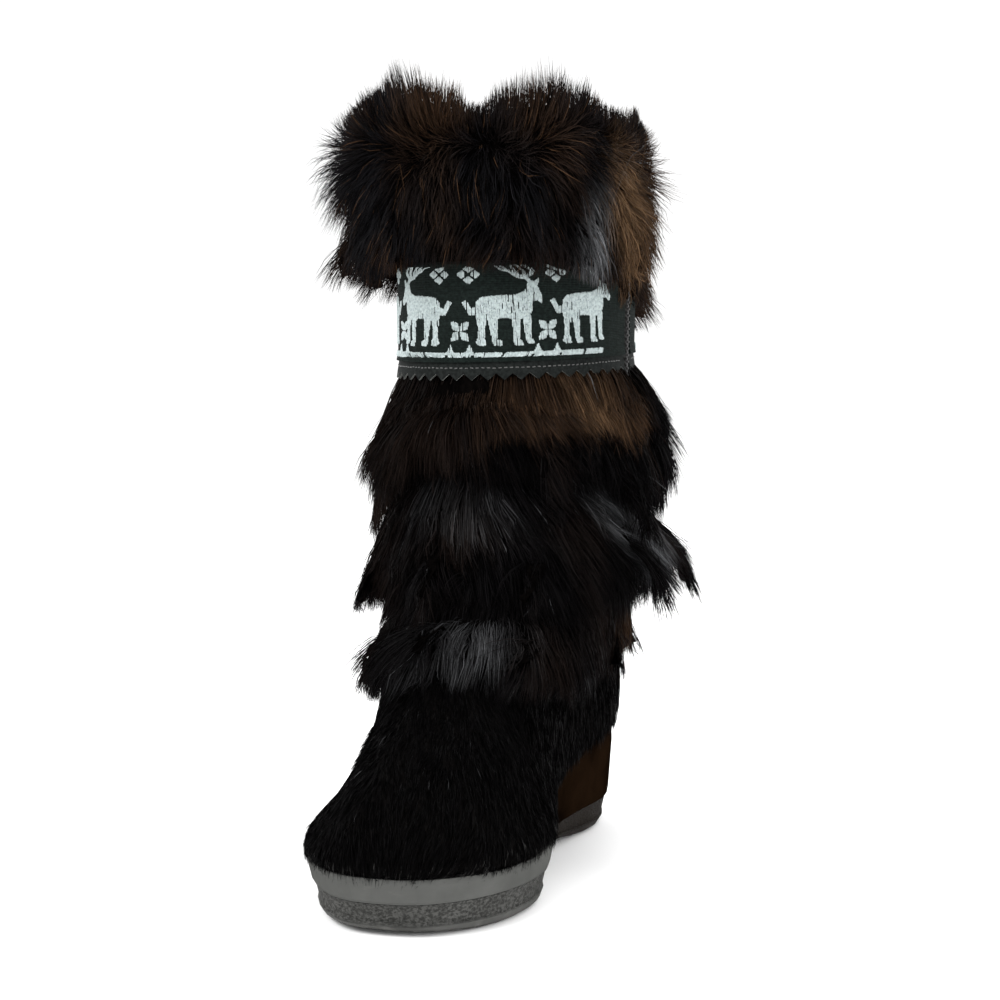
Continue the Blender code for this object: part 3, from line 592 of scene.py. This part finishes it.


# ---- Cuff ---------------------------------------------------------------------------
# The cuff is a strip of full, soft fur, sewn round the collar and standing up and
# outwards from it. Its lower hair falls over the top of the band. The front parts
# in a notch, and the inner side is streaked tan and silver; the silver is partly grey
# hair and partly painted sheen.


def grow_cuff():
    rng = np.random.default_rng(51)
    node = "fur_cuff"
    sink = 0.0060

    def density(places, out):
        outward = (out * from_spine(places)).sum(1)
        return np.where(outward > -0.1, 1 + 0.5 * (places[:, 2] > 0.322), np.where(places[:, 2] > 0.322, 1.6, 0.0))

    roots, out = roots_on(node, 39000, density, rng)
    away = unit(np.stack([roots[:, 0], roots[:, 1] - LEG_MIDDLE, np.zeros(len(roots))], 1))
    hem = hem_of(node)(roots)
    height = (roots[:, 2] - hem) / (0.340 - hem)
    rise = np.interp(height, (0.0, 0.45, 0.7, 0.85, 1.0), (-1.0, -0.95, -0.40, 0.45, 1.2))[:, None]
    up = np.array([0, 0, 1.0])
    sway = drift(roots, 0.045, 52)
    turns = (0, 60, 90, 115, 128, 136, 150, 166, 171, 176, 180, 184, 190, 208, 217, 260, 360)
    peaks = (0.8, 0.45, 0.3, 0.45, 0.75, 1.1, 1.2, 1.15, 0.8, 0.3, 0.45, 0.95, 1.15, 1.15, 0.7, 0.5, 0.8)
    peak = np.interp(turn_of(roots), turns, peaks)
    high = np.clip((height - 0.68) / 0.2, 0, 1)
    first = unit(out * 0.60 + away * 0.2 + up * rise * 0.6 + rng.normal(size=roots.shape) * 0.14)
    low_outer = np.clip(-roots[:, :1] / 0.05, 0, 1) * np.clip(1 - height[:, None] / 0.5, 0, 1)
    low_outer *= np.clip((-0.03 - roots[:, 1:2]) / 0.03, 0, 1)
    spread = 0.22 - 0.14 * high[:, None] - 0.35 * low_outer
    stray = drift(roots, 0.014, 53) * 0.28 + rng.normal(size=roots.shape) * 0.12
    last = unit(away * spread + up * rise + sway * 0.40 + stray)
    length = rng.uniform(0.011, 0.025, len(roots)) * (1 + drift(roots, 0.025, 54)[:, 0] * 0.3)
    length *= 1 - high + high * peak * 0.75
    length = np.where(rise[:, 0] < -0.3, np.minimum(length, 0.007 + 1.1 * (roots[:, 2] - hem)), length)
    inner = (out * from_spine(roots)).sum(1) < -0.1
    first[inner] = unit(out[inner] * 0.35 + up)
    last[inner] = unit(up + away[inner] * 0.12 + rng.normal(size=(inner.sum(), 3)) * 0.22)
    rim = 0.334 + 0.014 * peak[inner]
    length[inner] = np.clip(rim - roots[inner, 2], 0.004, 1) * rng.uniform(0.5, 1.1, inner.sum())
    colours = np.tile((0.0042, 0.0040, 0.0046), (len(roots), 1))
    colours = blend(colours, UMBER, np.clip(0.30 + drift(roots, 0.035, 55)[:, :1], 0, 1))
    # The grey patches are partly grey hair and partly painted sheen.
    patches = (
        (CHESTNUT, (-14, -112, 330), (18, 30, 16), 0.35),
        (CHESTNUT, (-8, -110, 292), (9, 30, 34), 0.14),
        (CHESTNUT, (34, -101, 326), (20, 30, 12), 0.16),
        (GREY_HAIR_AND_SHEEN, (50, -73, 290), (8, 12, 17), 0.85),
        (GREY_HAIR_AND_SHEEN, (51, -80, 270), (8, 12, 16), 0.7),
        (TAN, (58, -58, 305), (9, 14, 20), 0.8),
        (TAN, (60, -40, 280), (9, 16, 24), 0.75),
        (CHESTNUT, (52, 10, 290), (18, 40, 40), 0.5),
    )
    for tone, centre, radius, share in patches:
        tuft = 0.6 + 0.4 * rng.random((len(roots), 1))
        colours = blend(colours, tone, spot(roots, centre, radius) * share * tuft)
    colours = colours * rng.lognormal(0, 0.35, (len(roots), 1))
    colours = blend(colours, CHESTNUT, (rng.random((len(roots), 1)) < 0.03) * 0.8)
    width = rng.uniform(0.00018, 0.00040, len(roots))
    undercoat("cuff_undercoat", node, sink)
    roots = roots - out * sink * ~inner[:, None]
    grow("cuff_hair", roots, first, last, length, width, colours, rng, sink,
         tufts=1100, gather=0.36, free=inner)


grow_cuff()


# ---- Backing strip ------------------------------------------------------------------
# A strip of charcoal split leather lies under the band. Its lower edge is cut with
# pinking shears, so the cut shows pale, and one row of fine thread holds it.


def strip_leather():
    leather = Finish("pinked_leather")
    facing = leather.along(leather.node("ShaderNodeNewGeometry", {}, out=1), 2)
    cut = facing.size().rise(0.25, 0.5)
    grain = leather.noise(700, 5)
    colour = leather.mix(grain.rise(0.35, 0.7), (0.0040, 0.0048, 0.0046, 1), (0.0100, 0.0118, 0.0112, 1))
    colour = leather.mix(cut, colour, (0.13, 0.134, 0.126, 1))
    return leather.finish(colour, 0.65, grain, 0.0004, 0.6, Specular_IOR_Level=0.04)


dress("pinked_strip", strip_leather())


class Wall:
    """Maps a run round the leg and a height, in millimetres, to points on a piece's outer face."""

    def __init__(self, node, low, high):
        corners, faces, spread, normals = skin_of(node)
        tree = BVHTree.FromPolygons([Vector(c) for c in corners], faces.tolist())
        self.turns = np.radians(np.arange(99.0, 441.1, 2.0))
        self.heights = np.linspace(low, high, 12)
        self.grid = np.zeros((len(self.turns), len(self.heights), 3))
        for i, turn in enumerate(self.turns):
            away = Vector((math.sin(turn), math.cos(turn), 0))
            for j, height in enumerate(self.heights):
                start = Vector((0, LEG_MIDDLE, height / 1000)) + away * 0.15
                place = tree.ray_cast(start, -away, 0.13)[0] or tree.find_nearest(start)[0]
                self.grid[i, j] = place
        middle = self.grid[:, len(self.heights) // 2]
        steps = np.linalg.norm(np.diff(middle, axis=0), axis=1) * 1000
        self.runs = np.concatenate([[0], np.cumsum(steps)])
        self.length = self.runs[-1]

    def at(self, run, height, lift=0.0):
        """Points at a run from the zip's front edge and a height, raised off the face by lift."""
        i = np.interp(run, self.runs, np.arange(len(self.runs)))
        sag = 1.5 * (np.sin(np.interp(i, np.arange(len(self.turns)), self.turns)) - 1)
        j = np.interp(height + sag, self.heights, np.arange(len(self.heights)))
        i0 = np.clip(i.astype(int), 0, len(self.runs) - 2)
        j0 = np.clip(j.astype(int), 0, len(self.heights) - 2)
        a, b = (i - i0)[..., None], (j - j0)[..., None]
        g = self.grid
        place = (g[i0, j0] * (1 - a) * (1 - b) + g[i0 + 1, j0] * a * (1 - b)
                 + g[i0, j0 + 1] * (1 - a) * b + g[i0 + 1, j0 + 1] * a * b)
        out = unit(np.cross(g[i0 + 1, j0] - g[i0, j0], g[i0, j0 + 1] - g[i0, j0]))
        away = place * np.array([1, 1, 0]) - np.array([0, LEG_MIDDLE, 0])
        out = out * np.sign((out * away).sum(-1, keepdims=True))
        return place + out * (np.asarray(lift)[..., None] / 1000)


def sew(name, wall, stitches, width, rise, material):
    """Lays thread stitches, each from one (run, height) to another, as small domed bars."""
    a = np.array([s[:2] for s in stitches])
    b = np.array([s[2:] for s in stitches])
    run = unit(b - a)
    side = np.stack([-run[:, 1], run[:, 0]], 1)
    places = []
    for t, wide, tall in ((0, 0.45, 0.05), (0.14, 1, 0.85), (0.86, 1, 0.85), (1, 0.45, 0.05)):
        middle = a + (b - a) * t
        for offset, lift in ((-wide, 0.02), (0, tall * rise), (wide, 0.02)):
            p = middle + side * offset * width / 2
            places.append(wall.at(p[:, 0], p[:, 1], np.full(len(p), lift)))
    places = np.stack(places, 1)
    faces = []
    base = np.arange(len(a)) * 12
    for k in range(3):
        for m in range(2):
            c = base + 3 * k + m
            faces += np.stack([c, c + 3, c + 4, c + 1], 1).tolist()
    mesh = bpy.data.meshes.new(name)
    mesh.from_pydata(places.reshape(-1, 3), [], faces)
    mesh.materials.append(material)
    turned = bmesh.new()
    turned.from_mesh(mesh)
    bmesh.ops.recalc_face_normals(turned, faces=turned.faces)
    turned.to_mesh(mesh)
    turned.free()
    return show(name, mesh)


def thread(name, dark, light, gloss):
    cotton = Finish(name)
    ply = cotton.noise(900, 4)
    colour = cotton.mix(ply.rise(0.3, 0.7), dark, light)
    return cotton.finish(colour, gloss, ply, 0.0003, 0.6, Sheen_Weight=0.15)


strip_wall = Wall("pinked_strip", 216, 232)
strip_rng = np.random.default_rng(61)
strip_thread = thread("charcoal_thread", (0.03, 0.03, 0.03, 1), (0.075, 0.075, 0.072, 1), 0.55)
strip_row = 224.6
strip_stitches = [(run, strip_row + strip_rng.normal() * 0.1, run + 1.5, strip_row + strip_rng.normal() * 0.1)
                  for run in np.arange(1, strip_wall.length - 2, 2.5)]
sew("strip_stitching", strip_wall, strip_stitches, 0.5, 0.3, strip_thread)


# ---- Embroidered band --------------------------------------------------------------
# The band is a woven black-green ribbon with a traditional reindeer pattern in pale
# ice-green thread. Each figure is filled with short upright stitches, and a ground
# line with small peaks runs below. It is sewn on over the backing strip.


def band_cloth():
    cloth = Finish("band_cloth")
    place = cloth.place()
    ribs = cloth.node("ShaderNodeTexWave", {"wave_type": "BANDS", "bands_direction": "Z"}, place,
                      named={"Scale": 420.0, "Distortion": 1.2, "Detail": 2.0})
    fibre = cloth.noise(800, 5)
    colour = cloth.mix(fibre.rise(0.35, 0.7), (0.0022, 0.0040, 0.0034, 1), (0.0065, 0.0105, 0.0092, 1))
    return cloth.finish(colour, 0.9, ribs * 0.6 + fibre * 0.5, 0.0005, 0.7, Specular_IOR_Level=0.08)


dress("reindeer_band", band_cloth())

# Figures face right. Millimetres from the figure's middle, and above its hooves.
DEER = (
    ((-12.6, 15.5), (-12.2, 19.2), (-10.5, 21.0), (-6, 21.6), (0, 21.9), (5, 22), (8.5, 23.2), (10.5, 25.6),
     (12.4, 25), (12.8, 20), (12.4, 15), (10.8, 11.6), (5, 11.4), (0, 12.2), (-5, 11.6), (-10, 11), (-12.2, 12)),
    ((9, 22), (10, 26.8), (12.4, 28.0), (14.3, 26.4), (16.2, 22.8), (18.2, 19.6), (17.2, 17.6), (14.8, 19.4),
     (12.6, 19)),
    ((12.6, 27), (15.8, 29.4), (15.0, 25.8)),
    ((-11.5, 17.5), (-14.6, 16.2), (-17.0, 20.0), (-18.9, 19.0), (-15.6, 13.4), (-11.5, 13.6)),
    ((-12.2, 13), (-11.2, 4.5), (-12.4, 1.2), (-10.4, 0), (-7.6, 0.2), (-8.6, 4.5), (-7.9, 12.5)),
    ((-7.6, 13), (-6.2, 7), (-5.2, 2), (-4.4, 0), (-0.8, 0), (-1.0, 2), (-2.8, 2.6), (-3.2, 7), (-3.0, 13)),
    ((3, 13), (4, 7), (4.2, 1.6), (5, 0), (8.4, 0), (8.2, 1.9), (6.8, 2.6), (6.9, 7), (7.2, 13)),
    ((8, 13), (9.2, 7), (9.5, 2.4), (10.4, 0.8), (13.4, 0.6), (13.2, 2.4), (11.8, 3), (12, 7), (11.8, 13)),
)
ANTLERS = (
    ((11.6, 27), (9.6, 29.4), (5.5, 30.2), (2.0, 32.6), (-1.2, 33.4)),
    ((9.6, 29.4), (12.6, 31.8), (12.4, 35.4)),
    ((9.0, 29.4), (8.6, 33.6), (10.2, 36.2)),
    ((5.5, 30.2), (4.6, 34.0), (6.0, 36.4)),
    ((2.0, 32.6), (1.2, 36.2)),
    ((-1.2, 33.4), (-2.8, 36.0)),
)
DIAMOND = ((-2.9, 0), (-1.3, 1.5), (0, 2.2), (1.3, 1.5), (2.9, 0), (1.3, -1.5), (0, -2.2), (-1.3, -1.5))
PEAK = ((-4.0, -0.2), (-1.5, 1.0), (-0.5, 3.2), (0, 4.6), (0.5, 3.2), (1.5, 1.0), (4.0, -0.2))


def stroke(points, width):
    """A bent line as overlapping bars with pointed ends."""
    shapes = []
    for (x0, z0), (x1, z1) in zip(points, points[1:]):
        dx, dz = x1 - x0, z1 - z0
        far = math.hypot(dx, dz)
        dx, dz = dx / far * width / 2, dz / far * width / 2
        shapes.append(((x0 - dx, z0 - dz), (x0 - dz, z0 + dx), (x1 - dz, z1 + dx), (x1 + dx, z1 + dz),
                       (x1 + dz, z1 - dx), (x0 + dz, z0 - dx)))
    return shapes


def covered(shapes, xs, zs):
    """Which points of a column grid lie in any of the shapes."""
    x, z = np.meshgrid(xs, zs, indexing="ij")
    inside = np.zeros(x.shape, bool)
    for shape in shapes:
        hit = np.zeros(x.shape, bool)
        for (x0, z0), (x1, z1) in zip(shape, shape[1:] + shape[:1]):
            cross = (z0 > z) != (z1 > z)
            if z0 != z1:
                hit ^= cross & (x < (x1 - x0) * (z - z0) / (z1 - z0) + x0)
        inside |= hit
    return inside


def fill(shapes, middle, floor, rng, facing=1, pitch=0.5):
    """Upright stitches over the shapes, in columns, each broken where a needle goes down."""
    flat = [p for shape in shapes for p in shape]
    xs = np.arange(min(p[0] for p in flat) + 0.2, max(p[0] for p in flat), pitch)
    zs = np.arange(min(p[1] for p in flat), max(p[1] for p in flat), 0.1)
    stitches = []
    for x, column in zip(xs, covered(shapes, xs, zs)):
        edges = np.flatnonzero(np.diff(np.concatenate([[0], column.astype(int), [0]])))
        for low, high in zip(edges[::2], edges[1::2]):
            bottom, top = zs[low], zs[min(high, len(zs) - 1)]
            if top - bottom < 0.5:
                bottom, top = bottom - 0.2, top + 0.2
            reach = max(1, round((top - bottom) / rng.uniform(2.6, 3.8)))
            cuts = np.linspace(bottom, top, reach + 1)
            cuts[1:-1] += rng.uniform(-0.7, 0.7, reach - 1)
            for z0, z1 in zip(cuts, cuts[1:]):
                wander = rng.normal(0, 0.09, 4)
                run0 = middle - facing * x + wander[0]
                run1 = middle - facing * x + wander[1]
                stitches.append((run0, min(floor + z0 + wander[2] - 0.15, 269.6),
                                 run1 + 0.15, min(floor + z1 + wander[3] + 0.15, 269.8)))
    return [s for s in stitches if s[3] - s[1] > 0.25]


def embroider():
    rng = np.random.default_rng(71)
    wall = Wall("reindeer_band", 224.5, 269.8)
    ivory = thread("ice_green_thread", (0.24, 0.28, 0.28, 1), (0.44, 0.50, 0.50, 1), 0.55)
    hooves, flower_row, cross_row, peak_row, dash_row = 234.2, 265.4, 240.6, 230.6, 229.0
    antlers = [bar for line in ANTLERS for bar in stroke(line, 1.6)]
    stitches = []
    for k in range(9):
        run = 30.0 + 40 * k
        facing = (1, 1, -1, -1)[k % 4]
        if run + 18 < wall.length:
            stitches += fill(list(DEER) + antlers, run + (0 if facing > 0 else 3), hooves, rng, facing)
            flower = [[(x * 0.75 + dx, z * 0.75 + dz) for x, z in DIAMOND]
                      for dx, dz in ((-3.1, 0), (3.1, 0), (0, 2.5), (0, -2.5))]
            stitches += fill(flower, run + (16 if facing > 0 else -9), flower_row, rng)
        cross = run - 20
        if cross > 20:
            petals = []
            for turn in (45, 135, 225, 315):
                c, s = math.cos(math.radians(turn)), math.sin(math.radians(turn))
                petals.append([(c * (3.1 + x) - s * z * 0.8, s * (3.1 + x) + c * z * 0.8) for x, z in DIAMOND])
            stitches += fill(petals, cross, cross_row, rng)
            for side in (-4.7, 4.7):
                stitches += fill([PEAK], cross + side, peak_row, rng)
    for start in np.arange(17, wall.length - 16, 13.4):
        dash = [((0.2, 0), (1.2, 2.3), (13.0, 2.3), (12.0, 0))]
        stitches += fill(dash, start + 13, dash_row, rng, 1, 0.45)
    stitches = [s for s in stitches if 1.5 < s[0] < wall.length - 1 and rng.random() > 0.05]
    sew("reindeer_embroidery", wall, stitches, 0.56, 0.5, ivory)


embroider()


# ---- Side zip -----------------------------------------------------------------------
# A closed coil zip on black woven tape runs down the inner side, between the ends of
# the band and the pelts. Its slider is pulled up under the cuff.


def zip_tape():
    tape = Finish("zip_tape")
    twill = tape.node("ShaderNodeTexWave", {"wave_type": "BANDS", "bands_direction": "DIAGONAL"}, tape.place(),
                      named={"Scale": 260.0, "Distortion": 0.6})
    colour = tape.mix(twill.rise(0.3, 0.8), (0.006, 0.006, 0.006, 1), (0.017, 0.016, 0.016, 1))
    return tape.finish(colour, 0.8, twill, 0.0003, 0.6)


dress("side_zip", zip_tape())


def zip_coil():
    corners, faces, spread, normals = skin_of("side_zip")
    tree = BVHTree.FromPolygons([Vector(c) for c in corners], faces.tolist())
    coil = bmesh.new()
    low, high = (corner[2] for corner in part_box("side_zip"))
    for k, height in enumerate(np.arange(low + 0.006, high - 0.003, 0.0015)):
        best = None
        for y in np.arange(-0.048, -0.029, 0.001):
            place = tree.ray_cast(Vector((0.15, y, height)), Vector((-1, 0, 0)))[0]
            if place is not None and (best is None or place.x > best.x + 0.0001):
                best = place
        if best is None:
            continue
        shift = 0.0009 if k % 2 else -0.0009
        size = Matrix.Diagonal((0.0011, 0.0024, 0.0010, 1))
        bmesh.ops.create_cube(coil, size=1, matrix=Matrix.Translation(best + Vector((0.0002, shift, 0))) @ size)
    bmesh.ops.bevel(coil, geom=coil.edges[:], offset=0.00025, affect="EDGES", segments=1, profile=0.5, material=-1)
    mesh = bpy.data.meshes.new("zip_coil")
    coil.to_mesh(mesh)
    coil.free()
    nylon = Finish("zip_coil_nylon")
    black = nylon.mix(nylon.noise(300), (0.008, 0.008, 0.008, 1), (0.02, 0.02, 0.02, 1))
    mesh.materials.append(nylon.finish(black, 0.5, Specular_IOR_Level=0.15))
    show("zip_coil", mesh)


zip_coil()


# ---- Floor, light and camera --------------------------------------------------------
# The boot stands on a plain pale floor under soft studio light, seen from the front
# and a little to its inner side, as in the photograph.


def set_stage():
    floor_mesh = bpy.data.meshes.new("floor")
    ground = bmesh.new()
    bmesh.ops.create_grid(ground, x_segments=1, y_segments=1, size=6)
    ground.to_mesh(floor_mesh)
    ground.free()
    pale = Finish("pale_floor")
    cloud = pale.noise(1.5, 2)
    floor_mesh.materials.append(pale.finish(pale.mix(cloud, (0.93, 0.93, 0.93, 1), (0.95, 0.95, 0.95, 1)), 0.9))
    floor = bpy.data.objects.new("floor", floor_mesh)
    bpy.context.scene.collection.objects.link(floor)
    world = bpy.data.worlds.new("studio")
    world.use_nodes = True
    world.node_tree.nodes["Background"].inputs["Color"].default_value = (1, 1, 1, 1)
    world.node_tree.nodes["Background"].inputs["Strength"].default_value = 1.09
    bpy.context.scene.world = world
    for name, place, size, power in (("key", (-0.9, -1.5, 1.5), 1.0, 42), ("fill", (1.6, -0.9, 0.9), 1.2, 20),
                                     ("top", (0.2, 0.6, 1.8), 1.2, 30)):
        lamp = bpy.data.lights.new(name, "AREA")
        lamp.size = size
        lamp.energy = power
        light = bpy.data.objects.new(name, lamp)
        light.location = place
        light.rotation_euler = (Vector((0, -0.08, 0.17)) - Vector(place)).to_track_quat("-Z", "Y").to_euler()
        bpy.context.scene.collection.objects.link(light)


def set_camera():
    eye = bpy.data.cameras.new("camera")
    eye.lens = 91.0
    eye.clip_end = 30
    camera = bpy.data.objects.new("camera", eye)
    camera.location = (0.3549, -1.1463, 0.284)
    heading = math.radians(18.05)
    dip = math.radians(6.14)
    look = Vector((-math.sin(heading) * math.cos(dip), math.cos(heading) * math.cos(dip), -math.sin(dip)))
    camera.rotation_euler = look.to_track_quat("-Z", "Y").to_euler()
    bpy.context.scene.collection.objects.link(camera)
    bpy.context.scene.camera = camera


set_stage()
set_camera()
bpy.context.scene.view_settings.view_transform = "Standard"
